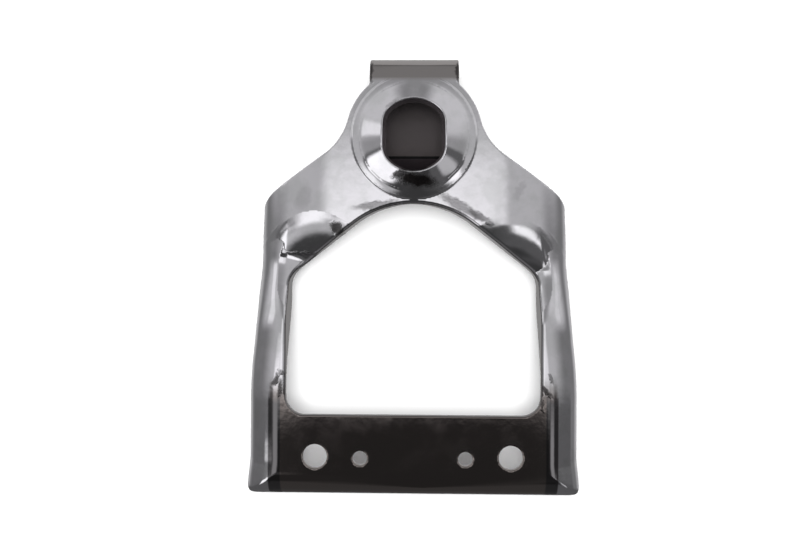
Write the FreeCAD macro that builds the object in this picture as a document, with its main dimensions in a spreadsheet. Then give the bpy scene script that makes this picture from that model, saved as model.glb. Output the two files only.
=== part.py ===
import FreeCAD, Part

# Headlamp mounting bracket for a motorcycle: one piece of sheet steel, pressed and folded.
#
# The sheet is an open pan. Its front is a flat face, whose long sides and lower edge roll back
# into flanges. A six-sided window leaves two arms, and the window's upper edge is turned back
# into a lip. Above the window a shallow cone carries the lamp's double-D hole, and a tab at the
# very top folds over and down behind it.
#
# Frame: X to the right, Y to the rear and Z up, in millimetres. The origin lies midway between the
# two large bolt holes, on the rear face of the plate.
#
# The pan is a filled outer form less a filled inner form. The same function draws both, and the
# inner one is inset by the sheet's thickness everywhere.

import math
import os
import Sketcher

NODE = "bracket"

# Driving dimensions: alias, value, meaning. Heights are above the row of bolt holes.
# Depths are behind the rear face of the plate. Lengths in millimetres, angles in degrees.
DIMENSIONS = [
    ("sheet", 2.7, "thickness of the sheet"),
    ("plate_drop", 15.0, "from the bolt holes down to the lowest edge"),
    ("bottom_roll", 9.5, "radius of the roll along the lower edge"),
    ("side_roll", 12.0, "radius of the roll along the sides"),
    ("lower_half_width", 60.4, "half the width beside the plate"),
    ("flare_width", 2.2, "how much further in the arms stand than the sides beside the plate"),
    ("shoulder_lean", 0.8, "how much further in the shoulders stand than the arms' lower ends"),
    ("flare_bottom", 19.0, "height where the flare of the arms ends"),
    ("flare_top", 57.0, "height where the flare of the arms starts"),
    ("corner_spread_top", -1.5, "height where the sides start to spread towards the lower corners"),
    ("corner_spread_radius", 20.0, "radius of the bend where they start to spread"),
    ("corner_spread_angle", 6.5, "slope of the sides where they spread"),
    ("corner_radius", 4.2, "rounding of the lower corners"),
    ("flange_depth", 17.0, "depth of the flanges beside the plate"),
    ("arm_flange_depth", 11.0, "depth of the flanges beside the arms"),
    ("flange_step_bottom", 24.0, "height where the deep flange ends"),
    ("flange_step_top", 42.0, "height where the shallow flange starts"),
    ("flange_step_radius", 12.0, "radius of the two bends of the flange's rear edge"),
    ("shoulder_drop", 24.0, "from the dome's centre down to the corner of shoulder and side"),
    ("shoulder_angle", 35.0, "slope of the shoulders"),
    ("shoulder_radius", 13.5, "rounding of the corner between shoulder and side"),
    ("neck_radius", 22.0, "hollow curve between shoulder and dome"),
    ("head_margin", 2.1, "from the dome's foot to the edge round it"),
    ("neck_band", 1.6, "from the window's highest point to the dome's foot"),
    ("dome_radius", 22.6, "radius of the dome's foot"),
    ("dome_step", 0.4, "small step round the dome's foot"),
    ("dome_angle", 24.0, "slope of the dome"),
    ("lamp_hole_radius", 13.0, "radius of the round sides of the lamp hole"),
    ("lamp_hole_flat", 11.05, "from the centre of the lamp hole to each flat"),
    ("lamp_hole_corner", 7.0, "rounding between the flats and the round sides of the lamp hole"),
    ("lamp_hole_depth", 4.7, "length of the lamp hole from front to rear"),
    ("lamp_hole_draft", 13.0, "draft of the lamp hole's wall"),
    ("lamp_collar_wall", 1.6, "wall of the collar behind the lamp hole"),
    ("tab_half_width", 16.1, "half the width of the folded tab"),
    ("tab_foot_radius", 1.8, "hollow curve at the foot of the tab"),
    ("tab_root_length", 2.0, "from the edge round the dome up to where the tab bends"),
    ("tab_bend_radius", 8.3, "outer radius of the tab's bend"),
    ("leg_crease_drop", 5.7, "from the dome's centre down to the crease in the rear leg"),
    ("leg_foot_length", 13.0, "length of the leg below its crease"),
    ("leg_foot_angle", 12.0, "tilt of the leg below its crease"),
    ("arm_width", 12.15, "width of the arms' lower ends, from the window to the side"),
    ("window_bottom", 14.8, "height of the window's lower edge"),
    ("window_top", 91.3, "height of the window's highest point"),
    ("window_angle", 36.8, "slope of the window's upper edges"),
    ("window_top_radius", 35.3, "radius of the window's arched top"),
    ("window_upper_radius", 9.5, "rounding of the window's upper corners"),
    ("window_lower_radius", 6.8, "rounding of the window's lower corners"),
    ("lip_draft", 4.5, "draft of the lip around the window"),
    ("lip_top_depth", 0.4, "depth of the lip at the middle of the arch"),
    ("lip_corner_depth", 9.3, "depth of the lip at the window's upper corners"),
    ("lip_full_drop", 10.2, "from the window's upper corners down to where the lip gets lower"),
    ("lip_end_height", 28.0, "height where the lip ends on the arms"),
    ("lip_end_depth", 1.5, "depth of the lip where it ends"),
    ("lip_clearance", 1.5, "from the lip to the shape that trims its depth"),
    ("scoop_inset", 13.1, "from the window's side in to the centre of each corner scoop"),
    ("scoop_lift", 2.3, "from the window's upper corner up to the centre of each corner scoop"),
    ("scoop_radius", 17.5, "radius of the rim of each corner scoop"),
    ("scoop_angle", 23.0, "slope of the scoops"),
    ("scoop_rim_radius", 20.0, "soft rounding of the scoops' rims"),
    ("bolt_half_spacing", 35.3, "half the distance between the large holes"),
    ("bolt_hole_radius", 4.35, "radius of the large holes"),
    ("screw_half_spacing", 19.0, "half the distance between the small holes"),
    ("screw_drop", 0.6, "how far the small holes lie below the large ones"),
    ("screw_hole_radius", 2.6, "radius of the small holes"),
    ("overshoot", 3.0, "how far the cutting shapes run past the sheet"),
]

doc = FreeCAD.newDocument("bracket")
sizes = doc.addObject("Spreadsheet::Sheet", "Sizes")
for row, (alias, value, meaning) in enumerate(DIMENSIONS, start=1):
    sizes.set(f"A{row}", str(value))
    sizes.setAlias(f"A{row}", alias)
    sizes.set(f"B{row}", meaning)
doc.recompute()

# Expressions used more than once
OUTER = "0"
INNER = "Sizes.sheet"
FRONT = "-Sizes.sheet"
REAR = "(Sizes.flange_depth + Sizes.overshoot)"
ARM_SIDE = "(Sizes.lower_half_width - Sizes.flare_width)"
SHOULDER_SIDE = f"({ARM_SIDE} - Sizes.shoulder_lean)"
WINDOW_SIDE = f"({ARM_SIDE} - Sizes.arm_width)"
WINDOW_PEAK = "(Sizes.window_top + Sizes.window_top_radius * (1 / cos(Sizes.window_angle) - 1))"
WINDOW_CORNER = f"({WINDOW_PEAK} - {WINDOW_SIDE} * tan(Sizes.window_angle))"
DOME_HEIGHT = "(Sizes.window_top + Sizes.neck_band + Sizes.dome_radius)"
HEAD_RADIUS = "(Sizes.dome_radius + Sizes.head_margin)"
SHOULDER_HEIGHT = f"({DOME_HEIGHT} - Sizes.shoulder_drop)"
TAB_ROOT = f"({DOME_HEIGHT} + sqrt({HEAD_RADIUS} ^ 2 - Sizes.tab_half_width ^ 2))"
BEND_HEIGHT = f"({TAB_ROOT} + Sizes.tab_root_length)"
TAB_TOP = f"({BEND_HEIGHT} + Sizes.tab_bend_radius)"
CREASE_HEIGHT = f"({DOME_HEIGHT} - Sizes.leg_crease_drop)"
LIP_FULL_HEIGHT = f"({WINDOW_CORNER} - Sizes.lip_full_drop)"
CLEAR_TOP = f"({BEND_HEIGHT} + Sizes.overshoot)"
CLEAR_SIDE = "(Sizes.lower_half_width + Sizes.overshoot)"
CLEAR_BOTTOM = "-(Sizes.plate_drop + Sizes.overshoot)"


def value_of(expression):
    """Return what an expression over the sheet comes to."""
    return float(sizes.evalExpression(expression))


def new_body(name):
    return doc.addObject("PartDesign::Body", name)


def new_sketch(body, role, name, offset="0", across="0", up="0"):
    """Attach a sketch to one of its body's own origin planes, moved along its normal or in it."""
    plane = next(item for item in body.Origin.OriginFeatures if item.Role == role)
    sketch = body.newObject("Sketcher::SketchObject", name)
    sketch.AttachmentSupport = [(plane, "")]
    sketch.MapMode = "FlatFace"
    sketch.setExpression("AttachmentOffset.Base.x", across)
    sketch.setExpression("AttachmentOffset.Base.y", up)
    sketch.setExpression("AttachmentOffset.Base.z", offset)
    return sketch


def place_point(sketch, geometry, end, across, up):
    """Tie one end of a line or arc to its distances from the sketch's origin."""
    for kind, expression, axis in (("DistanceX", across, -2), ("DistanceY", up, -1)):
        distance = value_of(expression)
        if expression == "0":
            sketch.addConstraint(Sketcher.Constraint("PointOnObject", geometry, end, axis))
            continue
        rule = sketch.addConstraint(Sketcher.Constraint(kind, -1, 1, geometry, end, distance))
        sketch.setExpression(f"Constraints[{rule}]", expression)


def draw_loop(sketch, corners):
    """Draw a closed loop through corners given as pairs of expressions.

    A corner may carry the radius of the arc that leads to the next corner and the side on which
    the arc bulges: 1 to the left of the way from corner to corner, -1 to the right.
    """
    points = []
    for corner in corners:
        points.append(FreeCAD.Vector(value_of(corner[0]), value_of(corner[1]), 0))
    first = sketch.GeometryCount
    for index, corner in enumerate(corners):
        start = points[index]
        end = points[(index + 1) % len(points)]
        if len(corner) == 2:
            sketch.addGeometry(Part.LineSegment(start, end), False)
            continue
        radius = value_of(corner[2])
        chord = end - start
        left = FreeCAD.Vector(-chord.y, chord.x, 0).normalize()
        reach = math.sqrt(max(radius ** 2 - (chord.Length / 2) ** 2, 0))
        centre = (start + end) / 2 - left * reach * corner[3]
        middle = centre + left * radius * corner[3]
        sketch.addGeometry(Part.Arc(start, middle, end), False)
    for index, corner in enumerate(corners):
        geometry = first + index
        after = first + (index + 1) % len(corners)
        own_start, own_end = loop_ends(sketch, geometry, points[index])
        next_start, _ = loop_ends(sketch, after, points[(index + 1) % len(points)])
        sketch.addConstraint(Sketcher.Constraint("Coincident", geometry, own_end, after, next_start))
        place_point(sketch, geometry, own_start, corner[0], corner[1])
        if len(corner) > 2:
            radius = value_of(corner[2])
            rule = sketch.addConstraint(Sketcher.Constraint("Radius", geometry, radius))
            sketch.setExpression(f"Constraints[{rule}]", corner[2])


def draw_circle(sketch, across, up, radius):
    centre = FreeCAD.Vector(value_of(across), value_of(up), 0)
    circle = sketch.addGeometry(Part.Circle(centre, FreeCAD.Vector(0, 0, 1), value_of(radius)), False)
    place_point(sketch, circle, 3, across, up)
    rule = sketch.addConstraint(Sketcher.Constraint("Radius", circle, value_of(radius)))
    sketch.setExpression(f"Constraints[{rule}]", radius)


def loop_ends(sketch, geometry, start):
    """Return which end of a line or arc lies at start, and the other one: 1 is its own start."""
    own = sketch.getPoint(geometry, 1)
    return (1, 2) if own.distanceToPoint(start) < 1e-6 else (2, 1)


def pad(body, sketch, name, length, taper="0", midplane=False, backward=True):
    """Pad a sketch. A sketch on the front plane is padded backward, which is towards +Y."""
    feature = body.newObject("PartDesign::Pad", name)
    feature.Profile = sketch
    feature.Type = "Length"
    feature.setExpression("Length", length)
    feature.setExpression("TaperAngle", taper)
    feature.Midplane = midplane
    feature.Reversed = backward
    doc.recompute()
    return feature


def fillet(body, base, name, radius, wanted):
    """Fillet the edges of a feature that the test wanted(edge) picks."""
    edges = []
    for number, edge in enumerate(base.Shape.Edges, start=1):
        if wanted(edge):
            edges.append(f"Edge{number}")
    feature = body.newObject("PartDesign::Fillet", name)
    feature.Base = (base, edges)
    feature.setExpression("Radius", radius)
    doc.recompute()
    return feature


def pocket(body, sketch, name):
    """Cut a sketch through the whole body, to both sides of the sketch's plane."""
    feature = body.newObject("PartDesign::Pocket", name)
    feature.Profile = sketch
    feature.Type = "ThroughAll"
    feature.Midplane = True
    doc.recompute()
    return feature


def revolve(body, sketch, name, axis):
    feature = body.newObject("PartDesign::Revolution", name)
    feature.Profile = sketch
    feature.ReferenceAxis = (sketch, [axis])
    feature.Angle = 360
    doc.recompute()
    return feature


def cut(name, base, tool):
    result = doc.addObject("Part::Cut", name)
    result.Base = base
    result.Tool = tool
    doc.recompute()
    return result


def fuse(name, *shapes):
    result = doc.addObject("Part::MultiFuse", name)
    result.Shapes = list(shapes)
    doc.recompute()
    return result


def common(name, *shapes):
    result = doc.addObject("Part::MultiCommon", name)
    result.Shapes = list(shapes)
    doc.recompute()
    return result


def runs_backward(edge):
    """Tell whether an edge runs mainly from front to rear."""
    box = edge.BoundBox
    return box.YLength > 5 * max(box.XLength, box.ZLength)


def near(number, expression, margin=0.5):
    return abs(number - value_of(expression)) < margin


def mirrored(side):
    """Return the left side of a loop whose right side is given from bottom to top."""
    left = []
    for index in range(len(side) - 1, -1, -1):
        bend = side[index - 1][2:] if index else ()
        left.append((f"-({side[index][0]})", side[index][1]) + bend)
    return left


def spread_start(bend):
    """Return where the sides' straight spread starts, below a bend of the given radius."""
    centre = "(Sizes.lower_half_width + Sizes.corner_spread_radius)"
    across = f"({centre} - {bend} * cos(Sizes.corner_spread_angle))"
    height = f"(Sizes.corner_spread_top - {bend} * sin(Sizes.corner_spread_angle))"
    return across, height


def pan_form(name, inset, depth):
    """Filled form of the pan: flared sides, rolled long edges and a rolled lower edge."""
    lean = "Sizes.shoulder_lean"
    rise = f"({SHOULDER_HEIGHT} - Sizes.flare_top)"
    lean_radius = f"(({rise} ^ 2 + {lean} ^ 2) / (2 * {lean}))"
    lean_drop = f"({lean_radius} - sqrt({lean_radius} ^ 2 - ({CLEAR_TOP} - Sizes.flare_top) ^ 2))"
    flare = "Sizes.flare_width"
    flare_length = "(Sizes.flare_top - Sizes.flare_bottom)"
    flare_radius = f"({flare_length} ^ 2 + {flare} ^ 2) / (4 * {flare})"
    front = f"({inset} - Sizes.sheet)"
    lowest = f"({inset} - Sizes.plate_drop)"
    bend = f"(Sizes.corner_spread_radius + {inset})"
    spread_across, spread_height = spread_start(bend)
    spread = f"tan(Sizes.corner_spread_angle) * ({spread_height} - ({lowest}))"
    side = [
        (f"{spread_across} + {spread}", lowest),
        (spread_across, spread_height, bend, 1),
        (f"Sizes.lower_half_width - {inset}", "Sizes.corner_spread_top"),
        (f"Sizes.lower_half_width - {inset}", "Sizes.flare_bottom", flare_radius, -1),
        (f"{ARM_SIDE} + {flare} / 2 - {inset}",
         "(Sizes.flare_bottom + Sizes.flare_top) / 2", flare_radius, 1),
        (f"{ARM_SIDE} - {inset}", "Sizes.flare_top", lean_radius, -1),
        (f"{ARM_SIDE} - {lean_drop} - {inset}", CLEAR_TOP),
    ]
    body = new_body(name)
    face = new_sketch(body, "XZ_Plane", name + "_face", f"-{front}")
    draw_loop(face, side + mirrored(side))
    block = pad(body, face, name + "_block", f"{depth} - {front}")

    def on_long_side(edge):
        box = edge.BoundBox
        return box.YLength < 0.01 and box.ZLength > 1 and near(box.YMin, front, 0.01)

    fillet(body, block, name + "_side_roll", f"Sizes.side_roll - {inset}", on_long_side)
    roll_depth = "Sizes.bottom_roll - Sizes.sheet"
    roll_height = "Sizes.bottom_roll - Sizes.plate_drop"
    lower_edge = new_sketch(body, "YZ_Plane", name + "_lower_edge")
    draw_loop(lower_edge, [
        (f"{front} - Sizes.overshoot", roll_height),
        (front, roll_height, f"Sizes.bottom_roll - {inset}", -1),
        (roll_depth, lowest),
        (roll_depth, f"{lowest} - Sizes.overshoot"),
        (f"{front} - Sizes.overshoot", f"{lowest} - Sizes.overshoot"),
    ])
    pocket(body, lower_edge, name + "_bottom_roll")
    return body


def outline_form():
    """Filled front view of the upper half: shoulders, edge round the dome and root of the tab."""
    side_gap = "Sizes.overshoot / 10"
    corner_across = f"({SHOULDER_SIDE} + {side_gap})"
    side = [
        (CLEAR_SIDE, CLEAR_BOTTOM),
        (CLEAR_SIDE, f"(Sizes.flare_top + {SHOULDER_HEIGHT}) / 2"),
        (f"{ARM_SIDE} + {side_gap}", f"(Sizes.flare_top + {SHOULDER_HEIGHT}) / 2"),
        (corner_across, SHOULDER_HEIGHT),
    ]
    apex = ("0", f"{SHOULDER_HEIGHT} + {corner_across} * tan(Sizes.shoulder_angle)")
    body = new_body("outline")
    front = "Sizes.sheet + Sizes.overshoot"
    depth = f"{REAR} + Sizes.sheet + 2 * Sizes.overshoot"
    shoulders = new_sketch(body, "XZ_Plane", "outline_shoulders", front)
    draw_loop(shoulders, side + [apex] + mirrored(side))
    pad(body, shoulders, "outline_shoulder_block", depth)
    head = new_sketch(body, "XZ_Plane", "outline_head", front)
    draw_circle(head, "0", DOME_HEIGHT, HEAD_RADIUS)
    pad(body, head, "outline_head_disc", depth)
    tab = new_sketch(body, "XZ_Plane", "outline_tab", front)
    tab_side = [("Sizes.tab_half_width", DOME_HEIGHT), ("Sizes.tab_half_width", CLEAR_TOP)]
    draw_loop(tab, tab_side + mirrored(tab_side))
    whole = pad(body, tab, "outline_tab_block", depth)

    def at_shoulder(edge):
        return runs_backward(edge) and near(abs(edge.CenterOfMass.x), corner_across)

    def at_neck(edge):
        spot = edge.CenterOfMass
        on_head = near(math.hypot(spot.x, spot.z - value_of(DOME_HEIGHT)), HEAD_RADIUS)
        return runs_backward(edge) and on_head and not near(abs(spot.x), "Sizes.tab_half_width")

    def at_tab_foot(edge):
        spot = edge.CenterOfMass
        return (runs_backward(edge) and near(abs(spot.x), "Sizes.tab_half_width")
                and near(spot.z, TAB_ROOT))

    rounded = fillet(body, whole, "outline_shoulder_rounding", "Sizes.shoulder_radius", at_shoulder)
    necked = fillet(body, rounded, "outline_neck_rounding", "Sizes.neck_radius", at_neck)
    fillet(body, necked, "outline_foot_rounding", "Sizes.tab_foot_radius", at_tab_foot)
    above = new_sketch(body, "YZ_Plane", "outline_tab_end")
    draw_loop(above, [
        (f"{FRONT} - 2 * Sizes.overshoot", BEND_HEIGHT),
        (f"{REAR} + 2 * Sizes.overshoot", BEND_HEIGHT),
        (f"{REAR} + 2 * Sizes.overshoot", f"{CLEAR_TOP} + {HEAD_RADIUS}"),
        (f"{FRONT} - 2 * Sizes.overshoot", f"{CLEAR_TOP} + {HEAD_RADIUS}"),
    ])
    pocket(body, above, "outline_tab_cut")
    across, height = spread_start("Sizes.corner_spread_radius")
    corner_side = f"({across} + tan(Sizes.corner_spread_angle) * ({height} + Sizes.plate_drop))"
    corner_inside = f"({corner_side} - Sizes.corner_radius)"
    corner_top = "(Sizes.corner_radius - Sizes.plate_drop)"
    corners = new_sketch(body, "XZ_Plane", "outline_lower_corners")
    for hand, bulge in (("", -1), ("-", 1)):
        draw_loop(corners, [
            (hand + corner_inside, "-Sizes.plate_drop", "Sizes.corner_radius", bulge),
            (hand + corner_side, corner_top),
            (hand + CLEAR_SIDE, corner_top),
            (hand + CLEAR_SIDE, CLEAR_BOTTOM),
            (hand + corner_inside, CLEAR_BOTTOM),
        ])
    pocket(body, corners, "outline_corner_cut")
    return body


def cone_form(name, base, foot, radius):
    """Blunt cone that points forward from its foot, with a short cylinder back to its base.

    Its blunt end is narrower than the lamp hole, which removes it.
    """
    end_radius = "(Sizes.lamp_hole_flat - Sizes.overshoot)"
    end = f"{foot} - ({radius} - {end_radius}) * tan(Sizes.dome_angle)"
    body = new_body(name)
    profile = new_sketch(body, "YZ_Plane", name + "_profile", up=DOME_HEIGHT)
    draw_loop(profile, [
        (base, "0"),
        (base, radius),
        (foot, radius),
        (end, end_radius),
        (end, "0"),
    ])
    revolve(body, profile, name + "_cone", "H_Axis")
    return body


def window_form(name, growth, draft="0"):
    """Filled window, grown on all sides. Its draft makes it narrower towards the rear."""
    grown = f"({growth} + Sizes.overshoot * tan({draft}))"
    apex = f"({WINDOW_PEAK} + {grown} / cos(Sizes.window_angle))"
    across = f"({WINDOW_SIDE} + {grown})"
    side = [
        (across, f"Sizes.window_bottom - {grown}"),
        (across, f"{apex} - {across} * tan(Sizes.window_angle)"),
    ]
    body = new_body(name)
    face = new_sketch(body, "XZ_Plane", name + "_face", "Sizes.sheet + Sizes.overshoot")
    draw_loop(face, side + [("0", apex)] + mirrored(side))
    depth = f"{REAR} + Sizes.sheet + 2 * Sizes.overshoot"
    block = pad(body, face, name + "_block", depth, taper=f"-{draft}")

    def at_top(edge):
        return runs_backward(edge) and near(edge.CenterOfMass.x, "0")

    def at_bottom(edge):
        return runs_backward(edge) and edge.CenterOfMass.z < value_of("Sizes.window_bottom + Sizes.sheet")

    def at_upper_corner(edge):
        beside = abs(edge.CenterOfMass.x) > value_of(f"{WINDOW_SIDE} / 2")
        return runs_backward(edge) and beside and not at_bottom(edge)

    arch_radius = f"Sizes.window_top_radius + {growth}"
    arched = fillet(body, block, name + "_arch", arch_radius, at_top)
    upper_radius = f"Sizes.window_upper_radius + {growth}"
    upper = fillet(body, arched, name + "_upper_corners", upper_radius, at_upper_corner)
    fillet(body, upper, name + "_lower_corners", f"Sizes.window_lower_radius + {growth}", at_bottom)
    return body


def scoop_form(name, hand, inset):
    """Shallow cone with a soft rim that dishes the face at one of the window's upper corners."""
    front = f"({inset} - Sizes.sheet)"
    rim = f"(Sizes.scoop_rim_radius - {inset})"
    reach = "(Sizes.scoop_radius + Sizes.scoop_rim_radius * tan(Sizes.scoop_angle / 2))"
    slope_across = f"({reach} - {rim} * sin(Sizes.scoop_angle))"
    slope_depth = f"({front} + {rim} * (1 - cos(Sizes.scoop_angle)))"
    body = new_body(name)
    across = f"{hand} * ({WINDOW_SIDE} - Sizes.scoop_inset)"
    height = f"{WINDOW_CORNER} + Sizes.scoop_lift"
    profile = new_sketch(body, "XY_Plane", name + "_profile", height, across)
    draw_loop(profile, [
        ("0", f"{FRONT} - Sizes.overshoot"),
        (reach, f"{FRONT} - Sizes.overshoot"),
        (reach, front, rim, 1),
        (slope_across, slope_depth),
        ("0", f"{slope_depth} + {slope_across} * tan(Sizes.scoop_angle)"),
    ])
    revolve(body, profile, name + "_dish", "V_Axis")
    return body


def tab_form():
    """The folded tab: a half-round bend, a leg down behind the dome and the leg's tilted foot."""
    leg_rear = "(2 * Sizes.tab_bend_radius - Sizes.sheet)"
    leg_front = f"({leg_rear} - Sizes.sheet)"
    foot_depth = f"({leg_rear} + Sizes.leg_foot_length * sin(Sizes.leg_foot_angle))"
    foot_height = f"({CREASE_HEIGHT} - Sizes.leg_foot_length * cos(Sizes.leg_foot_angle))"
    body = new_body("tab")
    profile = new_sketch(body, "YZ_Plane", "tab_profile")
    inner_bend = "(Sizes.tab_bend_radius - Sizes.sheet)"
    draw_loop(profile, [
        (FRONT, BEND_HEIGHT, "Sizes.tab_bend_radius", 1),
        (inner_bend, TAB_TOP, "Sizes.tab_bend_radius", 1),
        (leg_rear, BEND_HEIGHT),
        (leg_rear, CREASE_HEIGHT),
        (foot_depth, foot_height),
        (f"{foot_depth} - Sizes.sheet * cos(Sizes.leg_foot_angle)",
         f"{foot_height} - Sizes.sheet * sin(Sizes.leg_foot_angle)"),
        (leg_front, f"{CREASE_HEIGHT} - Sizes.sheet * tan(Sizes.leg_foot_angle / 2)"),
        (leg_front, BEND_HEIGHT, inner_bend, -1),
        (inner_bend, f"{BEND_HEIGHT} + {inner_bend}", inner_bend, -1),
        ("0", BEND_HEIGHT),
    ])
    pad(body, profile, "tab_strip", "2 * Sizes.tab_half_width", midplane=True)
    return body


def double_d_form(name, plane_depth, growth, length, draft="0"):
    """Round bar with two upright flats and soft corners, from a given depth towards the rear.

    It is the lamp hole's front edge, grown on all sides.
    """
    radius = f"(Sizes.lamp_hole_radius + {growth})"
    flat = f"(Sizes.lamp_hole_flat + {growth})"
    corner = f"(Sizes.lamp_hole_corner + {growth})"
    centre_across = f"({flat} - {corner})"
    centre_up = f"sqrt(({radius} - {corner}) ^ 2 - {centre_across} ^ 2)"
    touch_across = f"{centre_across} * {radius} / ({radius} - {corner})"
    touch_up = f"{centre_up} * {radius} / ({radius} - {corner})"
    body = new_body(name)
    face = new_sketch(body, "XZ_Plane", name + "_face", f"-({plane_depth})", up=DOME_HEIGHT)
    draw_loop(face, [
        (flat, f"-{centre_up}"),
        (flat, centre_up, corner, -1),
        (touch_across, touch_up, radius, -1),
        (f"-({touch_across})", touch_up, corner, -1),
        (f"-({flat})", centre_up),
        (f"-({flat})", f"-{centre_up}", corner, -1),
        (f"-({touch_across})", f"-({touch_up})", radius, -1),
        (touch_across, f"-({touch_up})", corner, -1),
    ])
    pad(body, face, name + "_bar", length, taper=f"-{draft}")
    return body


def hole_form():
    """The four round bars that punch the holes of the plate."""
    body = new_body("hole_punches")
    face = new_sketch(body, "XZ_Plane", "hole_punches_face", "Sizes.sheet + Sizes.overshoot")
    for hand in ("", "-"):
        draw_circle(face, f"{hand}Sizes.bolt_half_spacing", "0", "Sizes.bolt_hole_radius")
        draw_circle(face, f"{hand}Sizes.screw_half_spacing", "-Sizes.screw_drop", "Sizes.screw_hole_radius")
    pad(body, face, "hole_punches_bars", "Sizes.sheet + 2 * Sizes.overshoot")
    return body


def flange_trim_form():
    """Space behind the pan, which gives the flanges' rear edges their step."""
    far = f"{REAR} + Sizes.overshoot"
    body = new_body("flange_trim")
    profile = new_sketch(body, "YZ_Plane", "flange_trim_profile")
    draw_loop(profile, [
        ("Sizes.flange_depth", CLEAR_BOTTOM),
        ("Sizes.flange_depth", "Sizes.flange_step_bottom"),
        ("Sizes.arm_flange_depth", "Sizes.flange_step_top"),
        ("Sizes.arm_flange_depth", CLEAR_TOP),
        (far, CLEAR_TOP),
        (far, CLEAR_BOTTOM),
    ])
    block = pad(body, profile, "flange_trim_block", f"2 * {CLEAR_SIDE}", midplane=True)

    def at_step(edge):
        box = edge.BoundBox
        height = edge.CenterOfMass.z
        at_bend = near(height, "Sizes.flange_step_bottom") or near(height, "Sizes.flange_step_top")
        return box.XLength > 5 * box.ZLength and at_bend

    fillet(body, block, "flange_trim_bends", "Sizes.flange_step_radius", at_step)
    return body


def lip_trim_form():
    """Space behind the window's lip: shallow at the arch, deep at the corners, ending on the arms."""
    slope = f"(Sizes.lip_corner_depth - Sizes.lip_top_depth) / {WINDOW_SIDE}"
    side_depth = f"Sizes.lip_top_depth + {CLEAR_SIDE} * {slope}"
    over = new_body("lip_trim_above")
    plan = new_sketch(over, "XY_Plane", "lip_trim_above_plan", LIP_FULL_HEIGHT)
    draw_loop(plan, [
        ("0", "Sizes.lip_top_depth"),
        (CLEAR_SIDE, side_depth),
        (CLEAR_SIDE, REAR),
        (f"-{CLEAR_SIDE}", REAR),
        (f"-{CLEAR_SIDE}", side_depth),
    ])
    pad(over, plan, "lip_trim_above_block", f"{CLEAR_TOP} - {LIP_FULL_HEIGHT}", backward=False)
    beside = new_body("lip_trim_beside")
    profile = new_sketch(beside, "YZ_Plane", "lip_trim_beside_profile")
    draw_loop(profile, [
        ("Sizes.lip_end_depth", "Sizes.lip_end_height"),
        ("Sizes.lip_corner_depth", LIP_FULL_HEIGHT),
        (REAR, LIP_FULL_HEIGHT),
        (REAR, "Sizes.lip_end_height"),
    ])
    pad(beside, profile, "lip_trim_beside_block", f"2 * {CLEAR_SIDE}", midplane=True)
    zone = window_form("lip_zone", "Sizes.sheet + Sizes.lip_clearance")
    return common("lip_trim", zone, fuse("lip_trim_blocks", over, beside))


def upper_space():
    """Everything above the height where the lip ends."""
    body = new_body("upper_space")
    profile = new_sketch(body, "YZ_Plane", "upper_space_profile")
    near_side = f"{FRONT} - 2 * Sizes.overshoot"
    far_side = f"{REAR} + 2 * Sizes.overshoot"
    draw_loop(profile, [
        (near_side, "Sizes.lip_end_height"),
        (far_side, "Sizes.lip_end_height"),
        (far_side, CLEAR_TOP),
        (near_side, CLEAR_TOP),
    ])
    pad(body, profile, "upper_space_block", f"2 * {CLEAR_SIDE}", midplane=True)
    return body


def build_bracket():
    """Shape the sheet: outer form less inner form, with the window, lip, dome, tab and holes."""
    dome_rise = "(Sizes.dome_radius - Sizes.lamp_hole_radius) * tan(Sizes.dome_angle)"
    hole_front = f"(-Sizes.sheet - Sizes.dome_step - {dome_rise})"
    hollow_rise = "Sizes.sheet + Sizes.dome_step - Sizes.sheet / cos(Sizes.dome_angle)"
    hollow_radius = f"(Sizes.dome_radius + ({hollow_rise}) / tan(Sizes.dome_angle))"
    dome = cone_form("dome", "-Sizes.sheet / 2", "(-Sizes.sheet - Sizes.dome_step)", "Sizes.dome_radius")
    hollow = cone_form("dome_hollow", "Sizes.sheet / 4", "0", hollow_radius)

    outer = common("outer_form", pan_form("outer", OUTER, REAR), outline_form())
    outer = fuse("outer_with_dome", outer, dome)
    outer = cut("outer_with_window", outer, window_form("window", OUTER, "Sizes.lip_draft"))
    for side, hand in (("left", "-1"), ("right", "1")):
        outer = cut(f"outer_with_{side}_scoop", outer, scoop_form(f"{side}_scoop", hand, OUTER))

    inner = pan_form("inner", INNER, f"{REAR} + Sizes.overshoot")
    inner = fuse("inner_with_dome", inner, hollow)
    lip = common("lip_backing", window_form("lip_outside", INNER, "Sizes.lip_draft"), upper_space())
    inner = cut("inner_with_lip", inner, lip)
    for side, hand in (("left", "-1"), ("right", "1")):
        inner = cut(f"inner_with_{side}_scoop", inner, scoop_form(f"{side}_scoop_inside", hand, INNER))

    pan = cut("pan", outer, inner)
    pan = cut("pan_with_step", pan, flange_trim_form())
    pan = cut("pan_with_lip", pan, lip_trim_form())
    tab = cut("tab_with_hollow", tab_form(), hollow)
    shrink = "Sizes.lamp_hole_depth * tan(Sizes.lamp_hole_draft)"
    collar = double_d_form(
        "lamp_collar", f"{hole_front} + Sizes.sheet / 2",
        f"(Sizes.lamp_collar_wall - {shrink})", "Sizes.lamp_hole_depth - Sizes.sheet / 2")
    whole = fuse("whole", pan, tab, collar)
    spread = "Sizes.overshoot * tan(Sizes.lamp_hole_draft)"
    lamp_hole = double_d_form(
        "lamp_hole", f"{hole_front} - Sizes.overshoot", spread,
        "Sizes.lamp_hole_depth + 2 * Sizes.overshoot", "Sizes.lamp_hole_draft")
    punched = cut("punched", whole, lamp_hole)
    bracket = cut("finished", punched, hole_form())
    bracket.Refine = True
    bracket.Label = NODE
    doc.recompute()
    return bracket


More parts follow.
